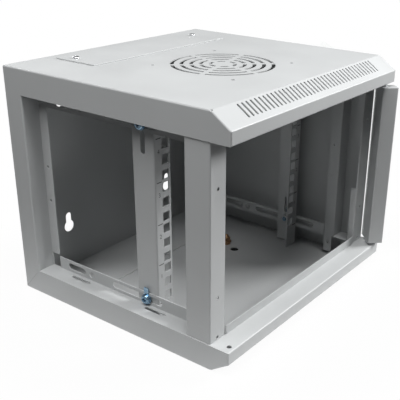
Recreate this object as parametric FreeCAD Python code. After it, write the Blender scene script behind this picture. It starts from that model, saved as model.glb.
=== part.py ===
import FreeCAD, Part
import math
import os

from FreeCAD import Vector

# Carcass of folded sheet, outside sizes in millimetres
WIDTH = 312.0
DEPTH = 294.0
HEIGHT = 258.0
SHEET = 1.2
BEND = 1.6
RIGHT = WIDTH / 2
FRONT = -DEPTH / 2
REAR = DEPTH / 2

# Gaps: hairline seam, round a moving piece, radial for a turning pin, round a fixed screw
SEAM = 0.3
MOVING = 0.6
RUNNING = 0.08
LOOSE = 0.3

# Roof and base trays, the roof is the base turned over
BAND = 28.0
SLOPE_RUN = 21.5
SLOPE_RISE = 14.5
SILL_DEPTH = 23.0
SILL_LIP = 9.5
LEDGE = 21.0
FLANGE = 14.0
RELIEF_RADIUS = 1.3
SLOPE_LENGTH = math.hypot(SLOPE_RUN, SLOPE_RISE)
SLOPE_START = FRONT + SLOPE_RUN
SILL_REAR = FRONT + SILL_DEPTH
FLANGE_OUT = RIGHT - LEDGE
FLANGE_IN = FLANGE_OUT - SHEET
BAND_IN = RIGHT - SHEET
TOP_BAND = HEIGHT - BAND

# Corner posts, folded with an inner flange that lines up with the tray flanges
POST_SETBACK = 1.3
POST_FACE = 23.3
POST_SIDE = 29.5
POST_RETURN = 8.0
POST_FLANGE = 12.5
REAR_POST = 25.5
REAR_LEG = 26.0
POST_FRONT = SLOPE_START + POST_SETBACK
POST_REAR = POST_FRONT + POST_SIDE
POST_IN = BAND_IN - POST_FACE
REAR_RETURN = REAR - REAR_POST
LOCK_NOTCH = 59.0
POST_HOLE_RADIUS = 1.7
POST_HOLE_GAP = 55.0
POST_HOLE_FOOT = 3.0
TONGUE_END = 5.5
TONGUE_HOLE = 18.0
FLANGE_HOLE_GAP = 39.4

# Rack rails, ten inch pattern with square holes
UNIT = 44.45
UNITS = 4
HOLE_STEP = 15.875
HOLE_EDGE = 6.35
HOLE_INSET = 37.7375
HOLE_MARGIN = 7.1375
SQUARE = 9.5
RACK_FLOOR_GAP = 3.75
RAIL_SHEET = 1.5
RAIL_BEND = 1.8
RAIL_SETBACK = 107.0
RAIL_DEPTH = 28.0
RAIL_END = 4.0
WEB_SLOT = 20.0
HOLE_X = RIGHT - HOLE_INSET
RAIL_IN = HOLE_X - HOLE_MARGIN
RACK_FLOOR = BAND + RACK_FLOOR_GAP
RAIL_FRONT = FRONT + RAIL_SETBACK
RAIL_OUT = FLANGE_IN - SEAM
RAIL_BOLT_Y = RAIL_FRONT + (RAIL_DEPTH + RAIL_SHEET) / 2

# Slots in the tray flanges, the front one for the rail and the others spare
RAIL_SLOT_LEAD = 6.0
RAIL_SLOT_LENGTH = 71.0
REAR_SLOT_LENGTH = 28.0
REAR_SLOT_INSET = 52.0
SPARE_HOLE_STEP = 9.0
FLANGE_SHIFT = 20.0
RAIL_SLOT = (RAIL_FRONT - RAIL_SLOT_LEAD, RAIL_FRONT - RAIL_SLOT_LEAD + RAIL_SLOT_LENGTH)
REAR_SLOT = (REAR - REAR_SLOT_INSET - REAR_SLOT_LENGTH, REAR - REAR_SLOT_INSET)
SPARE_HOLE_Y = REAR_SLOT[0] - SPARE_HOLE_STEP
SLOT_Z = BAND + FLANGE / 2

# Fasteners
M6 = 3.0
M6_SLOT = 7.0
M6_HEAD = 5.3
M6_HEAD_HEIGHT = 3.3
M6_NUT = 10.0
M6_NUT_HEIGHT = 4.5
CLIP_WIDTH = 12.5
CLIP_RISE = 5.0
SCREW = 1.7
SCREW_HEAD = 3.6
SCREW_HEAD_HEIGHT = 2.0

# Ventilation: slots in the slope and a ring grille with four fan holes
VENT_COUNT = 39
VENT_SPAN = 244.0
VENT_LENGTH = 17.0
VENT_WIDTH = 2.6
VENT_START = 2.2
FAN_X = -3.0
FAN_Y = -21.0
FAN_PITCH = 105.0
FAN_HOLE = 2.2
RING_COUNT = 5
RING_OUTER = 56.0
RING_PITCH = 10.1
RING_SLOT = 4.2
SPOKE = 5.0
SPOKE_ANGLE = 15.0

# Cable entries in roof and floor, and their cover plates
COVER_SHIFT = 10.0
COVER_INSET = 47.0
COVER_DEPTH = 58.0
COVER_REAR_GAP = 17.0
COVER_MARGIN = 24.0
COVER_LAP = 9.0
COVER_SCREW_INSET = 12.0
COVER_SCREW_REAR = 35.0
COVER_X = (COVER_SHIFT + COVER_INSET - RIGHT, COVER_SHIFT + RIGHT - COVER_INSET)
COVER_Y = (REAR - COVER_REAR_GAP - COVER_DEPTH, REAR - COVER_REAR_GAP)
COVER_SCREW_Y = REAR - COVER_SCREW_REAR

# Rear panel keyholes, floor hole and earth stud
KEY_X = 88.0
KEY_LOW = 46.5
KEY_LENGTH = 24.5
KEY_ROUND = 7.25
KEY_SLOT = 8.5
KEY_RISE = 154.0
FLOOR_HOLE_X = 71.0
FLOOR_HOLE_Y = 13.5
FLOOR_HOLE = 5.5
STUD_X = 78.0
STUD_Y = 32.0
STUD_TOP = 14.0
STUD_BASE = 3.0
WASHER = 6.5
WASHER_HEIGHT = 1.4

# Right side panel, hooked on the base ledge and locked to the roof ledge
PANEL_DEPTH = 15.3
PANEL_TOP_GAP = 1.6
PANEL_LOCK_DROP = 24.0
TAB_LENGTH = 22.0
TAB_DROP = 5.0
TAB_REACH = 55.0
TAB_SLOT = 4.0
TAB_END_GAP = 3.0
PANEL_FRONT = POST_REAR + MOVING
PANEL_REAR = REAR_RETURN - MOVING
PANEL_LOW = BAND + MOVING
PANEL_TOP = TOP_BAND - PANEL_TOP_GAP
PANEL_MID = (PANEL_FRONT + PANEL_REAR) / 2
PANEL_IN = RIGHT - PANEL_DEPTH
PANEL_LOCK_Z = PANEL_TOP - PANEL_LOCK_DROP
PANEL_CAM_BITE = 4.0

# Locks
LOCK_BARREL = 6.5
LOCK_FLANGE = 9.0
LOCK_FLANGE_HEIGHT = 1.5
LOCK_PLUG = 4.5
LOCK_NUT = 16.0
LOCK_NUT_HEIGHT = 3.5
CAM = 1.5
CAM_WIDTH = 10.0
CAM_GAP = 0.8
TENON = 5.0
CAM_NUT = 8.0
CAM_NUT_HEIGHT = 3.0
KEYWAY = 1.0
KEYWAY_SHARE = 0.7

# Glass door on one folded stile, drawn closed and then swung open about its pins
DOOR_OPEN = 224.0
PIVOT_INSET = 10.0
PIVOT_SETBACK = 6.5
DOOR_SIDE_GAP = 1.0
DOOR_SILL_GAP = 3.5
DOOR_ROOF_GAP = 4.5
DOOR_SETBACK = 2.0
DOOR_THICK = 18.0
STILE = 28.5
STILE_LEG = 14.0
STILE_LIP = 5.0
GLASS = 4.0
GLASS_LAP = 11.0
GLASS_CORNER = 4.0
GASKET = 1.0
CLAMP = 1.5
STUD = 2.0
STUD_SPREAD = 70.0
STUD_NUT = 7.0
STUD_NUT_HEIGHT = 3.2
DOOR_CAM_REACH = 20.0
LOCK_EDGE = 1.5
PIN = 2.5
PIN_COLLAR = 4.6
PIN_BITE = 6.0
PIN_GUIDE = 22.0
PIN_COLLAR_DROP = 10.0
PIN_COLLAR_HEIGHT = 3.0
PIN_FINGER = 1.5
PIN_FINGER_REACH = 7.0
PIVOT_X = RIGHT - PIVOT_INSET
PIVOT_Y = FRONT + PIVOT_SETBACK
DOOR_LOW = BAND + DOOR_SILL_GAP
DOOR_TOP = TOP_BAND - DOOR_ROOF_GAP
DOOR_EDGE = RIGHT - DOOR_SIDE_GAP
DOOR_FRONT = FRONT + DOOR_SETBACK
DOOR_BACK = DOOR_FRONT + DOOR_THICK
DOOR_MID = (DOOR_LOW + DOOR_TOP) / 2
STILE_IN = DOOR_EDGE - STILE
GLASS_EDGE = STILE_IN + GLASS_LAP
GLASS_FRONT = DOOR_FRONT + SHEET + GASKET
GLASS_BACK = GLASS_FRONT + GLASS
CLAMP_FRONT = GLASS_BACK + GASKET
CLAMP_BACK = CLAMP_FRONT + CLAMP
DOOR_LOCK_X = POST_IN - LOCK_EDGE - LOCK_BARREL

AXES = {"x": Vector(1, 0, 0), "y": Vector(0, 1, 0), "z": Vector(0, 0, 1)}


# Basic shapes

def box(x, y, z):
    corner = Vector(min(x), min(y), min(z))
    return Part.makeBox(abs(x[1] - x[0]), abs(y[1] - y[0]), abs(z[1] - z[0]), corner)


def point(u, v, axis, w):
    if axis == "x":
        return Vector(w, u, v)
    if axis == "y":
        return Vector(u, w, v)
    return Vector(u, v, w)


def extrude(edges, axis, low, high):
    face = Part.Face(Part.Wire(edges))
    return face.extrude(AXES[axis] * (high - low))


def plate(corners, axis, low, high):
    points = [point(u, v, axis, low) for u, v in corners]
    return extrude(Part.makePolygon(points + points[:1]).Edges, axis, low, high)


def rod(centre, axis, radius, low, high):
    return Part.makeCylinder(radius, high - low, point(*centre, axis, low), AXES[axis])


def hexagon(centre, axis, across, low, high):
    radius = across / math.sqrt(3)
    angles = [math.radians(60 * step) for step in range(6)]
    corners = [(centre[0] + radius * math.cos(a), centre[1] + radius * math.sin(a)) for a in angles]
    return plate(corners, axis, low, high)


def slot(first, last, width, axis, low, high):
    half = width / 2
    length = math.dist(first, last)
    along = ((last[0] - first[0]) / length, (last[1] - first[1]) / length)

    def at(end, forward, aside):
        u = end[0] + forward * along[0] - aside * along[1]
        v = end[1] + forward * along[1] + aside * along[0]
        return point(u, v, axis, low)

    edges = [
        Part.makeLine(at(first, 0, -half), at(last, 0, -half)),
        Part.Arc(at(last, 0, -half), at(last, half, 0), at(last, 0, half)).toShape(),
        Part.makeLine(at(last, 0, half), at(first, 0, half)),
        Part.Arc(at(first, 0, half), at(first, -half, 0), at(first, 0, -half)).toShape(),
    ]
    return extrude(edges, axis, low, high)


def fold(path, axis, low, high, sheet=SHEET, bend=BEND):
    # Sheet that follows the path, its thickness to the left, with round bends
    near_arcs = []
    far_arcs = []
    for before, here, after in zip(path, path[1:], path[2:]):
        first = heading(before, here)
        last = heading(here, after)
        turn = first[0] * last[1] - first[1] * last[0]
        side = 1 if turn > 0 else -1
        inner = bend - sheet
        radius, other = (bend, inner) if turn > 0 else (inner, bend)
        angle = math.atan2(abs(turn), first[0] * last[0] + first[1] * last[1])
        reach = radius * math.tan(angle / 2)
        start = (here[0] - first[0] * reach, here[1] - first[1] * reach)
        end = (here[0] + last[0] * reach, here[1] + last[1] * reach)
        centre = (start[0] - side * first[1] * radius, start[1] + side * first[0] * radius)
        middle = heading(centre, here)
        near_arcs.append((start, along(centre, middle, radius), end))
        far_arcs.append(tuple(along(centre, heading(centre, p), other) for p in near_arcs[-1]))
    first = heading(path[0], path[1])
    last = heading(path[-2], path[-1])
    far_start = (path[0][0] - first[1] * sheet, path[0][1] + first[0] * sheet)
    far_end = (path[-1][0] - last[1] * sheet, path[-1][1] + last[0] * sheet)
    near = [path[0]] + [p for arc in near_arcs for p in (arc[0], arc[2])] + [path[-1]]
    far = [far_start] + [p for arc in far_arcs for p in (arc[0], arc[2])] + [far_end]
    edges = strip(near, near_arcs, axis, low) + strip(far, far_arcs, axis, low)
    edges.append(Part.makeLine(point(*near[0], axis, low), point(*far[0], axis, low)))
    edges.append(Part.makeLine(point(*near[-1], axis, low), point(*far[-1], axis, low)))
    return extrude(Part.__sortEdges__(edges), axis, low, high)


def heading(start, end):
    length = math.dist(start, end)
    return ((end[0] - start[0]) / length, (end[1] - start[1]) / length)


def along(start, direction, distance):
    return (start[0] + direction[0] * distance, start[1] + direction[1] * distance)


def strip(points, arcs, axis, level):
    pairs = zip(points[0::2], points[1::2])
    edges = [Part.makeLine(point(*a, axis, level), point(*b, axis, level)) for a, b in pairs]
    edges += [Part.Arc(*(point(*p, axis, level) for p in arc)).toShape() for arc in arcs]
    return edges


def join(shapes):
    return shapes[0].multiFuse(shapes[1:]).removeSplitter()


def mirrored(shape):
    return shape.mirror(Vector(0, 0, 0), AXES["x"])


def both(shape):
    return [mirrored(shape), shape]


def upended(shape):
    return shape.mirror(Vector(0, 0, HEIGHT / 2), AXES["z"])


def write(name, *shapes):
    solids = [solid for shape in shapes for solid in shape.Solids]
    result = solids[0] if len(solids) == 1 else Part.makeCompound(solids)
    result.exportStep(f"parts/{name}.step")


# Roof and base

def tray_outline(inset):
    return [
        (FRONT + inset, SLOPE_RISE + inset * (SLOPE_LENGTH - SLOPE_RISE) / SLOPE_RUN),
        (SLOPE_START + inset * (SLOPE_LENGTH - SLOPE_RUN) / SLOPE_RISE, inset),
        (REAR - inset, inset),
        (REAR - inset, BAND - inset),
        (FRONT + inset, BAND - inset),
    ]


def is_bend(edge):
    limits = edge.BoundBox
    on_rim = limits.ZMin > BAND - SEAM
    return not on_rim or limits.YMax < FRONT + SEAM


def tray_flange(shift):
    # The shift moves the slots forward, the rail slot at its front end alone
    span = (POST_REAR + POST_FLANGE + SEAM, REAR_RETURN - POST_FLANGE - SEAM)
    flange = box((FLANGE_IN, FLANGE_OUT), span, (BAND - SHEET, BAND + FLANGE))
    cutters = [rod((SPARE_HOLE_Y - shift, SLOT_Z), "x", M6_SLOT / 2, FLANGE_IN, FLANGE_OUT)]
    rail_slot = (RAIL_SLOT[0] - shift, RAIL_SLOT[1])
    rear_slot = (REAR_SLOT[0] - shift, REAR_SLOT[1] - shift)
    for ends in (rail_slot, rear_slot):
        first = (ends[0] + M6_SLOT / 2, SLOT_Z)
        last = (ends[1] - M6_SLOT / 2, SLOT_Z)
        cutters.append(slot(first, last, M6_SLOT, "x", FLANGE_IN, FLANGE_OUT))
    return flange.cut(cutters)


def tray():
    outside = plate(tray_outline(0), "x", -RIGHT, RIGHT)
    outside = outside.makeFillet(BEND, [edge for edge in outside.Edges if is_bend(edge)])
    inside = plate(tray_outline(SHEET), "x", -BAND_IN, BAND_IN)
    mouth = box((-FLANGE_IN, FLANGE_IN), (SILL_REAR, REAR - SHEET), (BAND - 2 * SHEET, BAND))
    pin_hole = rod((PIVOT_X, PIVOT_Y), "z", PIN + RUNNING, BAND - 2 * SHEET, BAND)
    relief = rod((SLOPE_START, 0), "x", RELIEF_RADIUS, RIGHT - 2 * SHEET, RIGHT)
    tongue_y = (POST_REAR + BEND - SEAM, POST_REAR + POST_FLANGE + SEAM)
    notch = box((FLANGE_IN, FLANGE_OUT + SEAM), tongue_y, (BAND - 2 * SHEET, BAND))
    shell = outside.cut([inside, mouth] + both(pin_hole) + both(relief) + both(notch))
    reach = POST_IN - SHEET
    lip = box((-reach, reach), (SILL_REAR - SHEET, SILL_REAR), (BAND - SHEET, BAND + SILL_LIP))
    return join([shell, lip, mirrored(tray_flange(0)), tray_flange(FLANGE_SHIFT)])


def mitre(gap):
    rise = gap * BAND / REAR_POST
    corners = [(REAR_RETURN + gap, BAND), (REAR, BAND), (REAR, rise)]
    return plate(corners, "x", BAND_IN, RIGHT)


def cable_opening(low, high):
    x = (COVER_X[0] + COVER_MARGIN, COVER_X[1] - COVER_MARGIN)
    y = (COVER_Y[0] + COVER_LAP, COVER_Y[1] - COVER_LAP)
    opening = box(x, y, (low, high))
    return [opening] + [rod((sx, COVER_SCREW_Y), "z", SCREW + LOOSE, low, high) for sx in cover_screw_x()]


def cover_screw_x():
    return (COVER_X[0] + COVER_SCREW_INSET, COVER_X[1] - COVER_SCREW_INSET)


def tab_slots():
    centres = (PANEL_MID - TAB_REACH, PANEL_MID + TAB_REACH)
    middle = PANEL_IN + SHEET / 2
    half = TAB_LENGTH / 2 + TAB_END_GAP - TAB_SLOT / 2
    return [
        slot((middle, y - half), (middle, y + half), TAB_SLOT, "z", BAND - 2 * SHEET, BAND)
        for y in centres
    ]


def base():
    cutters = both(mitre(0)) + cable_opening(0, SHEET)
    cutters += [shape for cutter in tab_slots() for shape in both(cutter)]
    cutters.append(rod((FLOOR_HOLE_X, FLOOR_HOLE_Y), "z", FLOOR_HOLE, 0, SHEET))
    return tray().cut(cutters)


def vents():
    angle = math.degrees(math.atan2(SLOPE_RISE, SLOPE_RUN))
    half = (VENT_LENGTH - VENT_WIDTH) / 2
    centre = VENT_START + VENT_LENGTH / 2
    y = SLOPE_START - centre * SLOPE_RUN / SLOPE_LENGTH
    z = HEIGHT - centre * SLOPE_RISE / SLOPE_LENGTH
    cutters = []
    for index in range(VENT_COUNT):
        x = -VENT_SPAN / 2 + index * VENT_SPAN / (VENT_COUNT - 1)
        cutter = slot((0, -half), (0, half), VENT_WIDTH, "z", -2 * SHEET, 2 * SHEET)
        cutter.rotate(Vector(0, 0, 0), AXES["x"], angle)
        cutter.translate(Vector(x, y, z))
        cutters.append(cutter)
    return cutters


def grille():
    low = HEIGHT - SHEET
    centre = Vector(FAN_X, FAN_Y, low)
    bars = []
    for step in range(3):
        bar = box((-RING_OUTER, RING_OUTER), (-SPOKE / 2, SPOKE / 2), (0, SHEET))
        bar.rotate(Vector(0, 0, 0), AXES["z"], SPOKE_ANGLE + 60 * step)
        bar.translate(centre)
        bars.append(bar)
    cutters = []
    for ring in range(RING_COUNT):
        outer = RING_OUTER - ring * RING_PITCH
        hole = Part.makeCylinder(outer, SHEET, centre)
        hub = Part.makeCylinder(outer - RING_SLOT, SHEET, centre)
        cutters += hole.cut([hub] + bars).Solids
    for x in (-FAN_PITCH / 2, FAN_PITCH / 2):
        for y in (-FAN_PITCH / 2, FAN_PITCH / 2):
            cutters.append(rod((FAN_X + x, FAN_Y + y), "z", FAN_HOLE, low, HEIGHT))
    return cutters


def cam_slot():
    # Room in the roof ledge for the swing of the side panel's cam
    middle = PANEL_IN + SHEET / 2
    half = CAM_WIDTH / 2 + MOVING
    swing = panel_cam_swing(TOP_BAND)
    low = (middle, PANEL_MID - swing + TAB_SLOT / 2)
    high = (middle, PANEL_MID + half)
    return slot(low, high, TAB_SLOT, "z", TOP_BAND, TOP_BAND + 2 * SHEET)


def roof():
    cutters = vents() + grille() + cable_opening(HEIGHT - SHEET, HEIGHT) + both(cam_slot())
    return upended(tray()).cut(cutters)


def cable_cover(level):
    screw_holes = [rod((x, COVER_SCREW_Y), "z", SCREW + LOOSE, level, level + SHEET) for x in cover_screw_x()]
    return box(COVER_X, COVER_Y, (level, level + SHEET)).cut(screw_holes)


def cover_screw(x, level):
    head = rod((x, COVER_SCREW_Y), "z", SCREW_HEAD, level, level + SCREW_HEAD_HEIGHT)
    return join([head, rod((x, COVER_SCREW_Y), "z", SCREW, level - 2 * SHEET, level)])


# Rear panel and posts

def keyhole(x, low):
    centre = low + KEY_ROUND
    top = low + KEY_LENGTH - KEY_SLOT / 2
    span = (REAR - 2 * SHEET, REAR - SHEET)
    return [
        rod((x, centre), "y", KEY_ROUND, *span),
        slot((x, centre), (x, top), KEY_SLOT, "y", *span),
    ]


def rear_panel():
    span = (REAR - 2 * SHEET, REAR - SHEET)
    wide = BAND_IN - SEAM - BEND
    narrow = FLANGE_IN - SEAM
    field = box((-wide, wide), span, (BAND, TOP_BAND))
    tongue = box((-narrow, narrow), span, (SHEET, HEIGHT - SHEET))
    cutters = []
    for x in (-KEY_X, KEY_X):
        cutters += keyhole(x, KEY_LOW) + keyhole(x, KEY_LOW + KEY_RISE)
    return join([field, tongue]).cut(cutters)


def front_post():
    path = [
        (POST_IN, POST_FRONT + POST_RETURN),
        (POST_IN, POST_FRONT),
        (BAND_IN, POST_FRONT),
        (BAND_IN, POST_REAR),
        (FLANGE_OUT, POST_REAR),
        (FLANGE_OUT, POST_REAR + POST_FLANGE),
    ]
    tongue_y = (POST_REAR + BEND, POST_REAR + POST_FLANGE)
    tongue = box((FLANGE_IN, FLANGE_OUT), tongue_y, (TONGUE_END, HEIGHT - TONGUE_END))
    post = join([fold(path, "z", BAND, TOP_BAND), tongue])
    back = POST_FRONT + POST_RETURN
    middle = HEIGHT / 2
    notch = box(
        (POST_IN, POST_IN + SHEET),
        (POST_FRONT + BEND, back),
        (middle - LOCK_NOTCH / 2, middle + LOCK_NOTCH / 2),
    )
    hole_x = (POST_IN + BAND_IN) / 2
    heights = (middle + POST_HOLE_GAP, middle - POST_HOLE_GAP, BAND + POST_HOLE_FOOT)
    holes = [rod((hole_x, z), "y", POST_HOLE_RADIUS, POST_FRONT, POST_FRONT + SHEET) for z in heights]
    feet = (TONGUE_HOLE, HEIGHT - TONGUE_HOLE)
    return post.cut([notch] + holes + flange_holes(POST_REAR + POST_FLANGE / 2, *feet))


def flange_holes(y, *feet):
    middle = HEIGHT / 2
    heights = (middle - FLANGE_HOLE_GAP / 2, middle + FLANGE_HOLE_GAP / 2) + feet
    return [rod((y, z), "x", POST_HOLE_RADIUS, FLANGE_IN, FLANGE_OUT) for z in heights]


def rear_post():
    path = [
        (FLANGE_OUT, REAR_RETURN - POST_FLANGE),
        (FLANGE_OUT, REAR_RETURN),
        (RIGHT, REAR_RETURN),
        (RIGHT, REAR),
        (RIGHT - REAR_LEG, REAR),
    ]
    post = fold(path, "z", BAND, TOP_BAND)
    foot = box(
        (FLANGE_IN, FLANGE_OUT),
        (REAR_RETURN - POST_FLANGE, REAR_RETURN - SHEET),
        (BAND, BAND + FLANGE + 2 * SHEET),
    )
    holes = flange_holes(REAR_RETURN - POST_FLANGE / 2)
    return join([post.cut([foot] + holes), mitre(SEAM).cut(corner_round())])


def corner_round():
    # Takes the outer rear corner off the mitred foot of the post
    block = box((RIGHT - BEND, RIGHT), (REAR - BEND, REAR), (0, BAND))
    return block.cut(rod((RIGHT - BEND, REAR - BEND), "z", BEND, 0, BAND))


# Rack rails and their bolts

def hole_heights():
    offsets = (HOLE_EDGE, HOLE_EDGE + HOLE_STEP, HOLE_EDGE + 2 * HOLE_STEP)
    return [RACK_FLOOR + unit * UNIT + offset for unit in range(UNITS) for offset in offsets]


def bolt_heights():
    return (SLOT_Z, HEIGHT - SLOT_Z)


def rack_rail(slot_on_top):
    path = [
        (RAIL_IN, RAIL_FRONT),
        (RAIL_OUT, RAIL_FRONT),
        (RAIL_OUT, RAIL_FRONT + RAIL_DEPTH),
    ]
    rail = fold(path, "z", RAIL_END, HEIGHT - RAIL_END, RAIL_SHEET, RAIL_BEND)
    half = SQUARE / 2
    front = (RAIL_FRONT, RAIL_FRONT + RAIL_SHEET)
    cutters = [box((HOLE_X - half, HOLE_X + half), front, (z - half, z + half)) for z in hole_heights()]
    web = (RAIL_OUT - RAIL_SHEET, RAIL_OUT)
    cutters += [rod((RAIL_BOLT_Y, z), "x", M6 + LOOSE, *web) for z in bolt_heights()]
    low = SLOT_Z + M6_HEAD + M6_NUT / 2
    ends = [(RAIL_BOLT_Y, z) for z in (low, low + WEB_SLOT - M6)]
    if slot_on_top:
        ends = [(y, HEIGHT - z) for y, z in ends]
    cutters.append(slot(*ends, 2 * M6, "x", *web))
    return rail.cut(cutters)


def rail_bolt(z):
    seat = FLANGE_OUT + SEAM + SHEET
    head = rod((RAIL_BOLT_Y, z), "x", M6_HEAD, seat, seat + M6_HEAD_HEIGHT)
    tip = RAIL_OUT - RAIL_SHEET - M6_NUT_HEIGHT - SHEET
    return join([head, rod((RAIL_BOLT_Y, z), "x", M6, tip, seat)])


def rail_nut(z):
    seat = RAIL_OUT - RAIL_SHEET
    nut = hexagon((RAIL_BOLT_Y, z), "x", M6_NUT, seat - M6_NUT_HEIGHT, seat)
    return nut.cut(rod((RAIL_BOLT_Y, z), "x", M6 - SEAM / 6, seat - M6_NUT_HEIGHT, seat))


def rail_clip(z):
    # Plate under the bolt head, its tongue stands past the edge of the flange
    seat = FLANGE_OUT + SEAM
    reach = FLANGE / 2 + CLIP_RISE
    inward = 1 if z < HEIGHT / 2 else -1
    first = (RAIL_BOLT_Y, z)
    last = (RAIL_BOLT_Y, z + inward * (reach - CLIP_WIDTH / 2))
    clip = slot(first, last, CLIP_WIDTH, "x", seat, seat + SHEET)
    return clip.cut(rod(first, "x", M6 + LOOSE / 3, seat, seat + SHEET))


# Locks, drawn along +Y from the outer face of the sheet that carries them

def lock_body(length):
    barrel = rod((0, 0), "y", LOCK_BARREL, 0, length)
    collar = rod((0, 0), "y", LOCK_FLANGE, -LOCK_FLANGE_HEIGHT, 0)
    bore = rod((0, 0), "y", LOCK_PLUG + RUNNING, -LOCK_FLANGE_HEIGHT, length)
    return join([barrel, collar]).cut(bore)


def lock_nut(seat):
    nut = hexagon((0, 0), "y", LOCK_NUT, seat, seat + LOCK_NUT_HEIGHT)
    return nut.cut(rod((0, 0), "y", LOCK_BARREL + LOOSE / 3, seat, seat + LOCK_NUT_HEIGHT))


def lock_plug(length):
    seat = length + CAM_GAP
    plug = rod((0, 0), "y", LOCK_PLUG, -LOCK_FLANGE_HEIGHT, seat)
    half = TENON / 2
    tenon = box((-half, half), (seat, seat + CAM + CAM_NUT_HEIGHT), (-half, half))
    tall = LOCK_PLUG * KEYWAY_SHARE
    keyway = box((-KEYWAY / 2, KEYWAY / 2), (-LOCK_FLANGE_HEIGHT, length / 2), (-tall, tall))
    return join([plug, tenon]).cut(keyway)


def lock_cam(length, reach):
    # Hangs straight down from the plug when unlocked
    seat = length + CAM_GAP
    half = CAM_WIDTH / 2
    blade = slot((0, 0), (0, half - reach), CAM_WIDTH, "y", seat, seat + CAM)
    gap = TENON / 2 + RUNNING
    return blade.cut(box((-gap, gap), (seat, seat + CAM), (-gap, gap)))


def cam_nut(length):
    seat = length + CAM_GAP + CAM
    nut = hexagon((0, 0), "y", CAM_NUT + TENON / 2, seat, seat + CAM_NUT_HEIGHT)
    gap = TENON / 2 + RUNNING
    return nut.cut(box((-gap, gap), (seat, seat + CAM_NUT_HEIGHT), (-gap, gap)))


# Right side panel

def panel_lock_length():
    middle = PANEL_DEPTH - SHEET / 2
    return middle - CAM / 2 - CAM_GAP


def panel_cam_reach():
    return TOP_BAND + PANEL_CAM_BITE - PANEL_LOCK_Z


def panel_cam_swing(level):
    # Farthest sideways reach of the cam where it crosses the given height
    reach = panel_cam_reach() + MOVING
    return math.sqrt(reach ** 2 - (level - PANEL_LOCK_Z) ** 2) + CAM_WIDTH / 2


def side_panel():
    outside = box((PANEL_IN, RIGHT), (PANEL_FRONT, PANEL_REAR), (PANEL_LOW, PANEL_TOP))
    outside = outside.makeFillet(BEND, [e for e in outside.Edges if e.BoundBox.XMax > RIGHT - SEAM])
    inside = box(
        (PANEL_IN, BAND_IN),
        (PANEL_FRONT + SHEET, PANEL_REAR - SHEET),
        (PANEL_LOW + SHEET, PANEL_TOP - SHEET),
    )
    swing = panel_cam_swing(PANEL_TOP - SHEET)
    notch = box(
        (PANEL_IN, PANEL_IN + 2 * TAB_SLOT),
        (PANEL_MID - swing, PANEL_MID + CAM_WIDTH / 2 + MOVING),
        (PANEL_TOP - SHEET, PANEL_TOP),
    )
    lock_hole = rod((PANEL_MID, PANEL_LOCK_Z), "x", LOCK_BARREL + LOOSE / 3, BAND_IN, RIGHT)
    tabs = []
    for y in (PANEL_MID - TAB_REACH, PANEL_MID + TAB_REACH):
        span = (y - TAB_LENGTH / 2, y + TAB_LENGTH / 2)
        tabs.append(box((PANEL_IN, PANEL_IN + SHEET), span, (BAND - TAB_DROP, PANEL_LOW + SHEET)))
    return join([outside.cut([inside, notch, lock_hole])] + tabs)


def on_panel(shape):
    placed = shape.copy()
    placed.rotate(Vector(0, 0, 0), AXES["y"], 90)
    placed.rotate(Vector(0, 0, 0), AXES["z"], 90)
    placed.translate(Vector(RIGHT, PANEL_MID, PANEL_LOCK_Z))
    return placed


# Glass door

def stile_plate(low):
    # Plate across the stile that carries a hinge pin
    half = SHEET / 2
    x = (GLASS_EDGE + BEND, DOOR_EDGE - half)
    cap = box(x, (DOOR_FRONT + half, DOOR_BACK - half), (low, low + SHEET))
    return cap.cut(rod((PIVOT_X, PIVOT_Y), "z", PIN + RUNNING, low, low + SHEET))


def stud_centres():
    x = STILE_IN + GLASS_LAP / 2
    return [(x, DOOR_MID + step * STUD_SPREAD) for step in (-1, 0, 1)]


def stile():
    path = [
        (STILE_IN, DOOR_FRONT),
        (DOOR_EDGE, DOOR_FRONT),
        (DOOR_EDGE, DOOR_BACK),
        (DOOR_EDGE - STILE_LEG, DOOR_BACK),
        (DOOR_EDGE - STILE_LEG, DOOR_BACK - STILE_LIP),
    ]
    pieces = [fold(path, "z", DOOR_LOW, DOOR_TOP)]
    pieces += [stile_plate(low) for low in (DOOR_LOW, DOOR_TOP - SHEET, DOOR_TOP - PIN_GUIDE)]
    end = CLAMP_BACK + STUD_NUT_HEIGHT + SHEET
    pieces += [rod(centre, "y", STUD, DOOR_FRONT + SHEET / 2, end) for centre in stud_centres()]
    return join(pieces)


def glass_strip(front, back):
    # Flat strip along the stile with holes for its studs
    strip = box((STILE_IN, GLASS_EDGE), (front, back), (DOOR_LOW, DOOR_TOP))
    return strip.cut([rod(centre, "y", STUD + LOOSE, front, back) for centre in stud_centres()])


def door_glass():
    span = (GLASS_FRONT, GLASS_BACK)
    pane = box((-DOOR_EDGE, GLASS_EDGE), span, (DOOR_LOW, DOOR_TOP))
    far = [e for e in pane.Edges if e.BoundBox.XMax < SEAM - DOOR_EDGE and e.BoundBox.YLength > GLASS / 2]
    holes = [rod(centre, "y", STUD + LOOSE, *span) for centre in stud_centres()]
    holes.append(rod((-DOOR_LOCK_X, DOOR_MID), "y", LOCK_BARREL + LOOSE, *span))
    return pane.makeFillet(GLASS_CORNER, far).cut(holes)


def clamp_nut(centre):
    span = (CLAMP_BACK, CLAMP_BACK + STUD_NUT_HEIGHT)
    return hexagon(centre, "y", STUD_NUT, *span).cut(rod(centre, "y", STUD + LOOSE / 3, *span))


def lower_pin():
    pin = rod((PIVOT_X, PIVOT_Y), "z", PIN, BAND - PIN_BITE, DOOR_LOW + 2 * PIN_BITE)
    collar = rod((PIVOT_X, PIVOT_Y), "z", PIN_COLLAR, BAND + MOVING, DOOR_LOW)
    return join([pin, collar])


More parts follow.
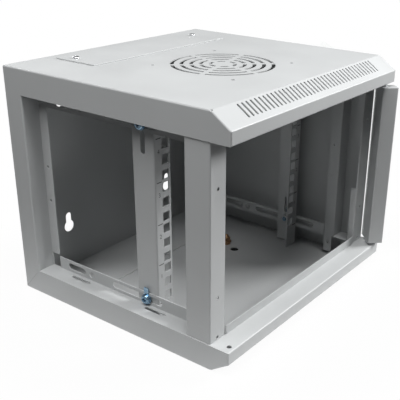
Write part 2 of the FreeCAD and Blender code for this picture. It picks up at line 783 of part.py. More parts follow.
def upper_pin():
    low = DOOR_TOP - PIN_GUIDE - PIN_BITE
    pin = rod((PIVOT_X, PIVOT_Y), "z", PIN, low, TOP_BAND + PIN_BITE)
    top = DOOR_TOP - PIN_COLLAR_DROP + PIN_COLLAR_HEIGHT
    radius = PIVOT_Y - DOOR_FRONT - SHEET - LOOSE
    collar = rod((PIVOT_X, PIVOT_Y), "z", radius, top - PIN_COLLAR_HEIGHT, top)
    level = top - PIN_COLLAR_HEIGHT / 2
    finger = rod((PIVOT_Y, level), "x", PIN_FINGER, PIVOT_X - PIN_FINGER_REACH, PIVOT_X)
    return join([pin, collar, finger])


def door_lock_length():
    return POST_FRONT - GLASS_FRONT + SHEET + MOVING


def on_door(shape):
    placed = shape.copy()
    placed.translate(Vector(-DOOR_LOCK_X, GLASS_FRONT, DOOR_MID))
    return placed


def opened(shape):
    placed = shape.copy()
    placed.rotate(Vector(PIVOT_X, PIVOT_Y, 0), AXES["z"], DOOR_OPEN)
    return placed


# Earth stud

def earth_stud():
    centre = (STUD_X, STUD_Y)
    foot = hexagon(centre, "z", M6_NUT, SHEET, SHEET + STUD_BASE)
    return join([foot, rod(centre, "z", M6, SHEET, STUD_TOP)])


def earth_washer():
    level = SHEET + STUD_BASE
    ring = rod((STUD_X, STUD_Y), "z", WASHER, level, level + WASHER_HEIGHT)
    return ring.cut(rod((STUD_X, STUD_Y), "z", M6 + LOOSE / 3, level, level + WASHER_HEIGHT))


def earth_nut():
    level = SHEET + STUD_BASE + WASHER_HEIGHT
    nut = hexagon((STUD_X, STUD_Y), "z", M6_NUT, level, level + M6_NUT_HEIGHT)
    return nut.cut(rod((STUD_X, STUD_Y), "z", M6 + LOOSE / 3, level, level + M6_NUT_HEIGHT))


# Files

def write_frame():
    write("base", base())
    write("roof", roof())
    write("rear_panel", rear_panel())
    for name, post in (("front", front_post()), ("rear", rear_post())):
        left, right = both(post)
        write(f"{name}_left_post", left)
        write(f"{name}_right_post", right)
    write("roof_cable_cover", cable_cover(HEIGHT))
    write("floor_cable_cover", cable_cover(SHEET))
    levels = (HEIGHT + SHEET, 2 * SHEET)
    write("cable_cover_screws", *(cover_screw(x, z) for x in cover_screw_x() for z in levels))
    write("earth_stud", earth_stud())
    write("earth_washer", earth_washer())
    write("earth_nut", earth_nut())


def write_rails():
    sets = {
        "rail_bolts": [rail_bolt(z) for z in bolt_heights()],
        "rail_nuts": [rail_nut(z) for z in bolt_heights()],
        "rail_clips": [rail_clip(z) for z in bolt_heights()],
    }
    write("left_rack_rail", mirrored(rack_rail(True)))
    write("right_rack_rail", rack_rail(False))
    for name, shapes in sets.items():
        write(f"left_{name}", *(mirrored(shape) for shape in shapes))
        write(f"right_{name}", *shapes)


def write_side_panel():
    length = panel_lock_length()
    write("right_side_panel", side_panel())
    write("panel_lock_body", on_panel(lock_body(length)))
    write("panel_lock_nut", on_panel(lock_nut(SHEET)))
    write("panel_lock_plug", on_panel(lock_plug(length)))
    write("panel_lock_cam", on_panel(lock_cam(length, panel_cam_reach())))
    write("panel_cam_nut", on_panel(cam_nut(length)))


def write_door():
    length = door_lock_length()
    pieces = {
        "hinge_stile": [stile()],
        "door_glass": [door_glass()],
        "front_glass_gasket": [glass_strip(DOOR_FRONT + SHEET, GLASS_FRONT)],
        "rear_glass_gasket": [glass_strip(GLASS_BACK, CLAMP_FRONT)],
        "glass_clamp_strip": [glass_strip(CLAMP_FRONT, CLAMP_BACK)],
        "glass_clamp_nuts": [clamp_nut(centre) for centre in stud_centres()],
        "lower_hinge_pin": [lower_pin()],
        "upper_hinge_pin": [upper_pin()],
        "door_lock_body": [on_door(lock_body(length))],
        "door_lock_nut": [on_door(lock_nut(GLASS))],
        "door_lock_plug": [on_door(lock_plug(length))],
        "door_lock_cam": [on_door(lock_cam(length, DOOR_CAM_REACH))],
        "door_cam_nut": [on_door(cam_nut(length))],
    }
    for name, shapes in pieces.items():
        write(name, *(opened(shape) for shape in shapes))


os.makedirs("parts", exist_ok=True)
write_frame()
write_rails()
write_side_panel()
write_door()
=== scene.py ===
import logging
import math
from dataclasses import dataclass
from enum import Enum

import bmesh
import bpy
from mathutils import Matrix, Vector


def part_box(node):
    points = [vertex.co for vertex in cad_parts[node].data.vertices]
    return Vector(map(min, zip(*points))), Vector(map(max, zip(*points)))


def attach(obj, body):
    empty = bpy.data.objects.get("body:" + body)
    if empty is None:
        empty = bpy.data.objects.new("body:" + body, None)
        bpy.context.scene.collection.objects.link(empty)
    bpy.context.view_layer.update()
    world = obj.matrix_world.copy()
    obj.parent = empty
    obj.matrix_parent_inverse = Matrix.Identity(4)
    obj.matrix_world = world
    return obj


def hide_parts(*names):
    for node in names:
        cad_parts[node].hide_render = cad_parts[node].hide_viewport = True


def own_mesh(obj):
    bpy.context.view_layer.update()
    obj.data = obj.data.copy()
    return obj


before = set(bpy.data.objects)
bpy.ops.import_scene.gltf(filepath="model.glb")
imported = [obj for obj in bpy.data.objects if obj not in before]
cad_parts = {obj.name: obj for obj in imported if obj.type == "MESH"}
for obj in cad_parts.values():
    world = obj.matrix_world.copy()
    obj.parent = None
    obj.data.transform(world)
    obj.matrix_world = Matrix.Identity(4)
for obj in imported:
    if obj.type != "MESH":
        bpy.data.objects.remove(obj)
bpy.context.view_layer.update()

LOG = logging.getLogger("cabinet")
MM = 0.001
WELD = 0.002 * MM
FLAT_ANGLE = math.radians(0.5)
EDGE_ANGLE = math.radians(40.0)
EDGE_STEPS = 2
NOISE_SPAN = (0.3, 0.7)
FULL_SPAN = (0.0, 1.0)
WHITE = (1.0, 1.0, 1.0, 1.0)

Triple = tuple[float, float, float]
Colour = Triple
Span = tuple[float, float]
Profile = list[Span]
Socket = bpy.types.NodeSocket


class Body(Enum):
    """Rigid bodies of the cabinet that new pieces ride on."""

    FRAME = "frame"
    LEFT_RAIL = "left_rail"
    RIGHT_RAIL = "right_rail"
    DOOR = "door"


class Slot(Enum):
    """Material slots of the record."""

    RAIL = "rail_paint"
    BLUE_ZINC = "blue_zinc"
    ZINC = "zinc"
    COPPER = "copper_plate"


class Axis(Enum):
    """Directions that a turned piece points along."""

    LEFT = (-1.0, 0.0, 0.0)
    RIGHT = (1.0, 0.0, 0.0)
    UP = (0.0, 0.0, 1.0)


def computed(
    tree: bpy.types.NodeTree, operation: str, first: Socket, second: Socket | float
) -> Socket:
    """Combine two values in a node tree.

    Args:
        tree: Node tree to add to.
        operation: Name of the sum to do.
        first: First value.
        second: Second value, a socket or a number.

    Returns:
        The result.
    """
    node = tree.nodes.new("ShaderNodeMath")
    node.operation = operation
    tree.links.new(first, node.inputs[0])
    if isinstance(second, float):
        node.inputs[1].default_value = second
    else:
        tree.links.new(second, node.inputs[1])
    return node.outputs["Value"]


def ranged(tree: bpy.types.NodeTree, value: Socket, source: Span, target: Span) -> Socket:
    """Stretch a value in a node tree from one range to another.

    Args:
        tree: Node tree to add to.
        value: Value to stretch.
        source: Start and end of the value's range.
        target: Results at the start and at the end.

    Returns:
        The stretched value.
    """
    node = tree.nodes.new("ShaderNodeMapRange")
    for name, number in zip(("From Min", "From Max", "To Min", "To Max"), source + target):
        node.inputs[name].default_value = number
    tree.links.new(value, node.inputs["Value"])
    return node.outputs["Result"]


class Recipe:
    """A material under construction, with short calls for the nodes it needs."""

    def __init__(self, name: str) -> None:
        """Start an empty principled material.

        Args:
            name: Name of the material.
        """
        self.material = bpy.data.materials.new(name)
        self.material.use_nodes = True
        self.tree = self.material.node_tree
        self.shader = self.tree.nodes["Principled BSDF"]
        self.place = self.tree.nodes.new("ShaderNodeTexCoord").outputs["Object"]

    def constant(self, socket: str, value: object) -> None:
        """Set one value all over the surface."""
        self.shader.inputs[socket].default_value = value

    def link(self, source: Socket, socket: str) -> None:
        """Feed a socket of the shader from a node."""
        self.tree.links.new(source, self.shader.inputs[socket])

    def stretched(self, scale: Triple) -> Socket:
        """Scale the object's coordinates differently along each axis.

        Args:
            scale: Factors along X, Y and Z.

        Returns:
            The scaled coordinates.
        """
        node = self.tree.nodes.new("ShaderNodeMapping")
        node.inputs["Scale"].default_value = scale
        self.tree.links.new(self.place, node.inputs["Vector"])
        return node.outputs["Vector"]

    def noise(self, size: float, detail: float, place: Socket | None = None) -> Socket:
        """Add soft noise.

        Args:
            size: Width of one blot in metres.
            detail: Octaves of finer noise.
            place: Coordinates, the object's own when left out.

        Returns:
            The noise value, about 0 to 1.
        """
        node = self.tree.nodes.new("ShaderNodeTexNoise")
        node.inputs["Scale"].default_value = 1.0 / size
        node.inputs["Detail"].default_value = detail
        self.tree.links.new(place or self.place, node.inputs["Vector"])
        return node.outputs["Fac"]

    def ramp(self, value: Socket, target: Span, source: Span = NOISE_SPAN) -> Socket:
        """Stretch a value, noise as a rule, to a range."""
        return ranged(self.tree, value, source, target)

    def tint(self, factor: Socket, first: Colour, second: Colour) -> Socket:
        """Mix two colours by a value.

        Args:
            factor: 0 gives the first colour, 1 the second.
            first: First colour.
            second: Second colour.

        Returns:
            The mixed colour.
        """
        node = self.tree.nodes.new("ShaderNodeMix")
        node.data_type = "RGBA"
        colours = [s for s in node.inputs if s.type == "RGBA"]
        colours[0].default_value = (*first, 1.0)
        colours[1].default_value = (*second, 1.0)
        self.tree.links.new(factor, node.inputs[0])
        return next(s for s in node.outputs if s.type == "RGBA")

    def bump(self, height: Socket, depth: float) -> None:
        """Raise the surface by a value.

        Args:
            height: Value that is 0 low and 1 high.
            depth: Height of the relief in metres.
        """
        node = self.tree.nodes.new("ShaderNodeBump")
        node.inputs["Distance"].default_value = depth
        self.tree.links.new(height, node.inputs["Height"])
        self.link(node.outputs["Normal"], "Normal")


def shade(colour: Colour, factor: float) -> Colour:
    """Make a colour darker or lighter by a factor."""
    return tuple(channel * factor for channel in colour)


def around(value: float, changes: Span) -> Span:
    """Range about a value, from its changes down and up."""
    return value + changes[0], value + changes[1]


@dataclass(frozen=True)
class PowderCoat:
    """Baked powder paint with a fine orange peel and faint handling marks."""

    name: str
    colour: Colour
    roughness: float = 0.42
    peel: float = 0.9 * MM
    peel_depth: float = 0.03 * MM
    peel_detail: float = 1.0
    cloud: float = 60.0 * MM
    cloud_detail: float = 4.0
    cloud_tones: Span = (0.96, 1.04)
    cloud_rough: Span = (-0.05, 0.06)
    specular: float = 0.4

    def make(self) -> bpy.types.Material:
        """Build the material.

        Returns:
            The finished paint.
        """
        recipe = Recipe(self.name)
        clouds = recipe.noise(self.cloud, self.cloud_detail)
        dark, pale = (shade(self.colour, tone) for tone in self.cloud_tones)
        recipe.link(recipe.tint(clouds, dark, pale), "Base Color")
        recipe.link(recipe.ramp(clouds, around(self.roughness, self.cloud_rough)), "Roughness")
        recipe.bump(recipe.noise(self.peel, self.peel_detail), self.peel_depth)
        recipe.constant("Specular IOR Level", self.specular)
        return recipe.material


@dataclass(frozen=True)
class Plating:
    """Plated metal with small tonal patches and fine drawn lines."""

    name: str
    colour: Colour
    patch_colour: Colour
    roughness: float = 0.3
    patch: float = 1.6 * MM
    patch_detail: float = 3.0
    patch_rough: Span = (-0.08, 0.1)
    line: float = 0.25 * MM
    line_depth: float = 0.01 * MM
    line_detail: float = 1.0
    line_scale: Triple = (1.0, 1.0, 0.12)

    def make(self) -> bpy.types.Material:
        """Build the material.

        Returns:
            The finished plating.
        """
        recipe = Recipe(self.name)
        patches = recipe.noise(self.patch, self.patch_detail)
        mottle = recipe.ramp(patches, FULL_SPAN)
        recipe.link(recipe.tint(mottle, self.colour, self.patch_colour), "Base Color")
        recipe.link(recipe.ramp(patches, around(self.roughness, self.patch_rough)), "Roughness")
        lines = recipe.noise(self.line, self.line_detail, recipe.stretched(self.line_scale))
        recipe.bump(lines, self.line_depth)
        recipe.constant("Metallic", 1.0)
        return recipe.material


@dataclass(frozen=True)
class ClearGlass:
    """Thin toughened glass with faint smears, which reflects but hardly bends light."""

    name: str
    colour: Colour
    smear: float = 40.0 * MM
    smear_detail: float = 5.0
    smear_tone: float = 0.985
    smear_span: Span = (0.45, 0.8)
    smear_rough: Span = (0.0, 0.05)
    bend: float = 1.02
    gloss: float = 1.5
    gloss_rough: float = 0.0

    def make(self) -> bpy.types.Material:
        """Build the material.

        Returns:
            The finished glass.
        """
        recipe = Recipe(self.name)
        smears = recipe.noise(self.smear, self.smear_detail)
        smeared = shade(self.colour, self.smear_tone)
        recipe.link(recipe.tint(smears, self.colour, smeared), "Base Color")
        recipe.link(recipe.ramp(smears, self.smear_rough, self.smear_span), "Roughness")
        recipe.constant("Transmission Weight", 1.0)
        recipe.constant("IOR", self.bend)
        recipe.constant("Coat Weight", 1.0)
        recipe.constant("Coat IOR", self.gloss)
        recipe.constant("Coat Roughness", self.gloss_rough)
        return recipe.material


@dataclass(frozen=True)
class FoamRubber:
    """Black foam strip with open pores."""

    name: str
    colour: Colour
    pore: float = 0.5 * MM
    pore_depth: float = 0.1 * MM
    pore_detail: float = 3.0
    pore_tone: float = 1.8
    roughness: float = 0.85

    def make(self) -> bpy.types.Material:
        """Build the material.

        Returns:
            The finished rubber.
        """
        recipe = Recipe(self.name)
        pores = recipe.noise(self.pore, self.pore_detail)
        pale = shade(self.colour, self.pore_tone)
        recipe.link(recipe.tint(pores, self.colour, pale), "Base Color")
        recipe.bump(pores, self.pore_depth)
        recipe.constant("Roughness", self.roughness)
        return recipe.material


@dataclass(frozen=True)
class Ink:
    """Matt screen print that is slightly worn through."""

    name: str
    colour: Colour
    paper: Colour
    wear: float = 0.8 * MM
    wear_detail: float = 3.0
    wear_span: Span = (0.62, 0.75)
    roughness: float = 0.6

    def make(self) -> bpy.types.Material:
        """Build the material.

        Returns:
            The finished print.
        """
        recipe = Recipe(self.name)
        worn = recipe.ramp(recipe.noise(self.wear, self.wear_detail), FULL_SPAN, self.wear_span)
        recipe.link(recipe.tint(worn, self.colour, self.paper), "Base Color")
        recipe.constant("Roughness", self.roughness)
        return recipe.material


PAINT_COLOUR = (0.50, 0.512, 0.515)
RAIL_COLOUR = shade(PAINT_COLOUR, 0.97)


class Finishes:
    """Every finish of the cabinet, made once and shared."""

    def __init__(self) -> None:
        """Make the materials."""
        self.cabinet = PowderCoat("cabinet_powder_coat", PAINT_COLOUR).make()
        self.rail = PowderCoat("rail_powder_coat", RAIL_COLOUR, roughness=0.38).make()
        self.blue_zinc = Plating(
            "blue_zinc_plate", (0.16, 0.33, 0.5), (0.46, 0.58, 0.67), roughness=0.2
        ).make()
        self.zinc = Plating("bright_zinc_plate", (0.62, 0.63, 0.64), (0.5, 0.51, 0.53)).make()
        self.nickel = Plating(
            "nickel_plate", (0.72, 0.71, 0.69), (0.66, 0.65, 0.63), roughness=0.16, patch=4.0 * MM
        ).make()
        self.copper = Plating(
            "copper_plate_finish", (0.56, 0.36, 0.21), (0.43, 0.27, 0.16), roughness=0.28
        ).make()
        self.glass = ClearGlass("clear_glass", (0.97, 0.99, 0.98)).make()
        self.rubber = FoamRubber("foam_rubber", (0.02, 0.02, 0.021)).make()
        self.ink = Ink("rail_print", (0.05, 0.05, 0.05), PAINT_COLOUR).make()


def dress(material: bpy.types.Material, *nodes: str) -> None:
    """Give carried-over nodes a finish.

    Args:
        material: Finish to use.
        nodes: Names of the nodes.
    """
    for name in nodes:
        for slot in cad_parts[name].material_slots:
            slot.material = material
        LOG.info("dressed %s with %s", name, material.name)


def soften(width: float, *nodes: str) -> None:
    """Round the cut edges of carried-over nodes.

    Args:
        width: Width of the rounding in metres.
        nodes: Names of the nodes.
    """
    for name in nodes:
        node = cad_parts[name]
        weld = node.modifiers.new("weld", "WELD")
        weld.merge_threshold = WELD
        whole = node.modifiers.new("whole_faces", "DECIMATE")
        whole.decimate_type = "DISSOLVE"
        whole.angle_limit = FLAT_ANGLE
        edge = node.modifiers.new("soft_edges", "BEVEL")
        edge.width = width
        edge.segments = EDGE_STEPS
        edge.limit_method = "ANGLE"
        edge.angle_limit = EDGE_ANGLE
        flat = node.modifiers.new("flat_faces", "WEIGHTED_NORMAL")
        flat.keep_sharp = False
        LOG.info("softened the edges of %s", name)


def placed(axis: Axis, place: Vector) -> Matrix:
    """Matrix that points local +Z along an axis and moves to a place."""
    turn = Vector(Axis.UP.value).rotation_difference(Vector(axis.value)).to_matrix().to_4x4()
    return Matrix.Translation(place) @ turn


def spun(profile: Profile, steps: int = 48) -> bmesh.types.BMesh:
    """Turn a profile about Z.

    Args:
        profile: Radius and height of each point in metres.
        steps: Faces around the shape.

    Returns:
        The turned shape.
    """
    mesh = bmesh.new()
    points = [mesh.verts.new((radius, 0.0, height)) for radius, height in profile]
    chain = [mesh.edges.new(pair) for pair in zip(points, points[1:])]
    bmesh.ops.spin(
        mesh,
        geom=points + chain,
        cent=(0.0, 0.0, 0.0),
        axis=Axis.UP.value,
        angle=math.tau,
        steps=steps,
        use_merge=True,
    )
    bmesh.ops.remove_doubles(mesh, verts=mesh.verts[:], dist=WELD)
    return mesh


def wound(outline: Profile, pitch: float, turns: float, steps: int = 32) -> bmesh.types.BMesh:
    """Sweep a closed outline along a helix about Z.

    Args:
        outline: Radius and height of each corner in metres.
        pitch: Rise in one turn.
        turns: Number of turns.
        steps: Faces in one turn.

    Returns:
        The closed helical shape.
    """
    mesh = bmesh.new()
    points = [mesh.verts.new((radius, 0.0, height)) for radius, height in outline]
    start = mesh.faces.new(points)
    total = round(turns * steps)
    swept = bmesh.ops.spin(
        mesh,
        geom=points + start.edges[:],
        cent=(0.0, 0.0, 0.0),
        axis=Axis.UP.value,
        dvec=(0.0, 0.0, pitch / steps),
        angle=math.tau * turns,
        steps=total,
    )
    ends = [part for part in swept["geom_last"] if isinstance(part, bmesh.types.BMEdge)]
    bmesh.ops.edgeloop_fill(mesh, edges=ends)
    return mesh


def added(mesh: bmesh.types.BMesh, other: bmesh.types.BMesh) -> bmesh.types.BMesh:
    """Put another shape into a mesh.

    Args:
        mesh: Mesh that takes it in.
        other: Shape to add, freed here.

    Returns:
        The first mesh.
    """
    carrier = bpy.data.meshes.new("carrier")
    other.to_mesh(carrier)
    other.free()
    mesh.from_mesh(carrier)
    bpy.data.meshes.remove(carrier)
    return mesh


def repeated(mesh: bmesh.types.BMesh, places: list[Matrix]) -> bmesh.types.BMesh:
    """Copy a shape to several places.

    Args:
        mesh: Shape about the origin.
        places: Where each copy goes.

    Returns:
        The mesh with the copies alone.
    """
    pattern = mesh.verts[:]
    first = pattern + mesh.edges[:] + mesh.faces[:]
    for place in places:
        copy = bmesh.ops.duplicate(mesh, geom=first)["geom"]
        verts = [part for part in copy if isinstance(part, bmesh.types.BMVert)]
        bmesh.ops.transform(mesh, matrix=place, verts=verts)
    bmesh.ops.delete(mesh, geom=pattern, context="VERTS")
    return mesh


@dataclass(frozen=True)
class CrossScrew:
    """A pan-head screw with a cross recess, its seat at zero and its head up +Z.

    Head, height, shank and length are in metres, the others shares of the head or the shank.
    """

    head: float
    height: float
    shank: float
    length: float
    flat: float = 0.58
    arm: float = 0.5
    arm_width: float = 0.14
    depth: float = 0.75
    taper: float = 0.6
    rim: float = 0.3
    tip: float = 0.75
    tip_cone: float = 0.4
    seat: float = 0.96
    seat_round: float = 0.04
    dome_steps: int = 6

    def profile(self) -> Profile:
        """Half section from the tip up to the flat of the head.

        Returns:
            Radius and height of each point.
        """
        rim = self.rim * self.height
        fall = self.head * (1.0 - self.flat)
        points = [(0.0, -self.length), (self.tip * self.shank, -self.length)]
        points += [(self.shank, self.tip_cone * self.shank - self.length), (self.shank, 0.0)]
        points += [(self.seat * self.head, 0.0), (self.head, self.seat_round * self.head)]
        for step in range(self.dome_steps + 1):
            angle = math.radians(90.0 / self.dome_steps * step)
            radius = self.head - fall * (1.0 - math.cos(angle))
            points.append((radius, rim + (self.height - rim) * math.sin(angle)))
        return points

    def outline(self, mesh: bmesh.types.BMesh) -> list[bmesh.types.BMEdge]:
        """Draw the cross on the flat of the head.

        Args:
            mesh: Mesh that takes the outline.

        Returns:
            Its edges.
        """
        reach, half = self.arm * self.head, self.arm_width * self.head
        verts = []
        for quarter in range(4):
            turn = Matrix.Rotation(quarter * math.pi / 2, 3, "Z")
            for corner in ((reach, -half), (reach, half), (half, half)):
                verts.append(mesh.verts.new(turn @ Vector((*corner, self.height))))
        return [mesh.edges.new(pair) for pair in zip(verts, verts[1:] + verts[:1])]

    def mesh(self) -> bmesh.types.BMesh:
        """Build the screw.

        Returns:
            The closed shape.
        """
        mesh = spun(self.profile())
        brim = [edge for edge in mesh.edges if edge.is_boundary]
        cross = self.outline(mesh)
        bmesh.ops.bridge_loops(mesh, edges=brim + cross)
        sunk = bmesh.ops.extrude_edge_only(mesh, edges=cross)["geom"]
        verts = [part for part in sunk if isinstance(part, bmesh.types.BMVert)]
        bmesh.ops.scale(mesh, vec=(self.taper, self.taper, 1.0), verts=verts)
        bmesh.ops.translate(mesh, vec=(0.0, 0.0, -self.depth * self.height), verts=verts)
        bmesh.ops.edgeloop_fill(mesh, edges=[edge for edge in mesh.edges if edge.is_boundary])
        return mesh


@dataclass(frozen=True)
class HexNut:
    """A hexagon nut with coned corners, its seat at zero and its axis along +Z."""

    flats: float
    height: float
    bore: float
    lead: float = 0.4 * MM
    face: float = 0.48
    cone: float = math.radians(30.0)

    def mesh(self) -> bmesh.types.BMesh:
        """Build the nut.

        Returns:
            The closed shape.
        """
        face, rim = self.face * self.flats, self.flats
        half = [(self.bore, self.lead), (self.bore + self.lead, 0.0), (face, 0.0), (rim, 0.0)]
        top = [(radius, self.height - level) for radius, level in reversed(half)]
        mesh = spun(half + top + half[:1])
        for vert in mesh.verts:
            if vert.co.xy.length > (face + rim) / 2:
                self.push_in(vert, face)
        return mesh

    def push_in(self, vert: bmesh.types.BMVert, face: float) -> None:
        """Move a vertex of the rim to the hexagon and its coned end.

        Args:
            vert: Vertex to move.
            face: Radius at which the cone starts.
        """
        bearing = math.atan2(vert.co.y, vert.co.x)
        off = (bearing + math.pi / 6) % (math.pi / 3) - math.pi / 6
        reach = self.flats / 2 / math.cos(off)
        drop = (reach - face) * math.tan(self.cone)
        level = drop if vert.co.z < self.height / 2 else self.height - drop
        vert.co = (reach * math.cos(bearing), reach * math.sin(bearing), level)


@dataclass(frozen=True)
class ClipPlate:
    """A flat washer with a straight tongue along +X, its seat at zero and its axis along +Z."""

    radius: float
    bore: float
    thick: float
    half_tongue: float
    reach: float
    steps: int = 96

    def rim(self, bearing: float) -> float:
        """Measure from the middle of the bore to the outline.

        Args:
            bearing: Angle from the tongue.

        Returns:
            The distance.
        """
        ahead, aside = math.cos(bearing), abs(math.sin(bearing))
        if ahead <= 0.0:
            return self.radius
        return max(self.radius, min(self.reach / ahead, self.half_tongue / max(aside, WELD)))

    def mesh(self) -> bmesh.types.BMesh:
        """Build the plate.

        Returns:
            The closed shape.
        """
        inner, outer, top = self.bore, self.radius, self.thick
        section = [(inner, 0.0), (outer, 0.0), (outer, top), (inner, top), (inner, 0.0)]
        mesh = spun(section, self.steps)
        for vert in mesh.verts:
            if vert.co.xy.length > (inner + outer) / 2:
                bearing = math.atan2(vert.co.y, vert.co.x)
                far = self.rim(bearing)
                vert.co = (far * math.cos(bearing), far * math.sin(bearing), vert.co.z)
        return mesh


def linked(name: str, data: bpy.types.ID) -> bpy.types.Object:
    """Make an object and put it into the scene.

    Args:
        name: Name of the object.
        data: Its mesh, curve, lamp or camera.

    Returns:
        The new object.
    """
    holder = bpy.data.objects.new(name, data)
    bpy.context.scene.collection.objects.link(holder)
    return holder


def lettered(text: str, size: float, depth: float) -> bmesh.types.BMesh:
    """Cut plain characters that stand upright and face the front.

    Args:
        text: Characters to cut.
        size: Size of the type in metres.
        depth: Thickness of the characters.

    Returns:
        The closed shape, centred on the origin.
    """
    curve = bpy.data.curves.new("type", "FONT")
    curve.body = text
    curve.size = size
    curve.extrude = depth / 2
    curve.align_x = "CENTER"
    curve.align_y = "CENTER"
    holder = linked("type", curve)
    final = holder.evaluated_get(bpy.context.evaluated_depsgraph_get())
    solid = bpy.data.meshes.new_from_object(final)
    mesh = bmesh.new()
    mesh.from_mesh(solid)
    bpy.data.meshes.remove(solid)
    bpy.data.objects.remove(holder)
    bpy.data.curves.remove(curve)
    upright = Matrix.Rotation(math.pi / 2, 3, "X")
    bmesh.ops.rotate(mesh, cent=(0.0, 0.0, 0.0), matrix=upright, verts=mesh.verts[:])
    return mesh


def block(size: Triple, place: Vector) -> bmesh.types.BMesh:
    """Make a small rectangular block.

    Args:
        size: Length along X, Y and Z.
        place: Its centre.

    Returns:
        The closed shape.
    """
    mesh = bmesh.new()
    matrix = Matrix.Translation(place) @ Matrix.Diagonal((*size, 1.0))
    bmesh.ops.create_cube(mesh, size=1.0, matrix=matrix)
    return mesh


def piece(
    mesh: bmesh.types.BMesh, name: str, body: Body, materials: list[bpy.types.Material]
) -> bpy.types.Object:
    """Turn a bmesh into a finished piece that rides on a body.

    Args:
        mesh: Shape in the cabinet's own frame, freed here.
        name: Name of the piece.
        body: Body that it moves with.
        materials: Finishes in face order.

    Returns:
        The new object.
    """
    bmesh.ops.remove_doubles(mesh, verts=mesh.verts[:], dist=WELD)
    bmesh.ops.recalc_face_normals(mesh, faces=mesh.faces[:])
    data = bpy.data.meshes.new(name)
    mesh.to_mesh(data)
    mesh.free()
    for material in materials:
        data.materials.append(material)
    made = linked(name, data)
    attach(made, body.value)
    LOG.info("built %s on %s", name, body.value)
    return made


def middle(node: str) -> Vector:
    """Centre of a node's box."""
    low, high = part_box(node)
    return (Vector(low) + Vector(high)) / 2


@dataclass
class Carcass:
    """Roof, base, rear panel, posts, cable covers and the earth stud."""

    finishes: Finishes
    edge: float = 0.25 * MM
    screw: CrossScrew = CrossScrew(3.6 * MM, 2.0 * MM, 1.7 * MM, 2.4 * MM)
    floor_cover_top: float = 2.4 * MM
    stud: float = 2.6 * MM
    stud_crest: float = 3.0 * MM
    stud_pitch: float = 1.0 * MM
    stud_head: float = 3.0 * MM
    stud_chamfer: float = 0.4 * MM
    thread_bite: float = 0.1 * MM
    thread_foot: float = 0.45
    thread_top: float = 0.05
    nut: HexNut = HexNut(10.0 * MM, 4.5 * MM, 3.05 * MM)

    def dress(self) -> None:
        """Paint the sheet metal and round its cut edges."""
        sheets = ["base", "roof", "rear_panel", "roof_cable_cover", "floor_cable_cover"]
        for side in ("left", "right"):
            sheets += [f"front_{side}_post", f"rear_{side}_post"]
        dress(self.finishes.cabinet, *sheets)
        soften(self.edge, *sheets)
        dress(self.finishes.copper, "earth_washer")
        soften(self.edge, "earth_washer")

    def cover_screws(self) -> None:
        """Put the cross-head screws through both cable covers."""
        low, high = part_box("cable_cover_screws")
        inset = self.screw.head
        places = []
        for x in (low[0] + inset, high[0] - inset):
            for level in (self.floor_cover_top, high[2] - self.screw.height):
                places.append(placed(Axis.UP, Vector((x, (low[1] + high[1]) / 2, level))))
        mesh = repeated(self.screw.mesh(), places)
        made = piece(mesh, "cover_cross_screws", Body.FRAME, [self.finishes.zinc])
        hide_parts("cable_cover_screws")

    def earth_point(self) -> None:
        """Thread the earth stud and put its nut on."""
        low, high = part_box("earth_stud")
        centre = middle("earth_stud")
        tall = high[2] - low[2]
        root, crest, pitch, cut = self.stud, self.stud_crest, self.stud_pitch, self.stud_chamfer
        core = spun([(0.0, 0.0), (root, 0.0), (root, tall - cut), (root - cut, tall), (0.0, tall)])
        inner = root - self.thread_bite
        foot, top = self.thread_foot * pitch, self.thread_top * pitch
        turns = (tall - self.stud_head) / pitch - 1.0
        thread = wound([(inner, -foot), (crest, -top), (crest, top), (inner, foot)], pitch, turns)
        start = Vector((0.0, 0.0, self.stud_head + pitch / 2))
        bmesh.ops.translate(thread, vec=start, verts=thread.verts[:])
        head = HexNut(self.nut.flats, self.stud_head, root)
        mesh = added(added(core, thread), head.mesh())
        seat = Vector((centre.x, centre.y, low[2]))
        bmesh.ops.translate(mesh, vec=seat, verts=mesh.verts[:])
        made = piece(mesh, "earth_stud_thread", Body.FRAME, [self.finishes.copper])
        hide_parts("earth_stud")
        seat.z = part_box("earth_nut")[0][2]
        nut = repeated(self.nut.mesh(), [placed(Axis.UP, seat)])
        made = piece(nut, "earth_hex_nut", Body.FRAME, [self.finishes.copper])
        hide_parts("earth_nut")

    def build(self) -> None:
        """Dress the carcass and add its hardware."""
        self.dress()
        self.cover_screws()
        self.earth_point()


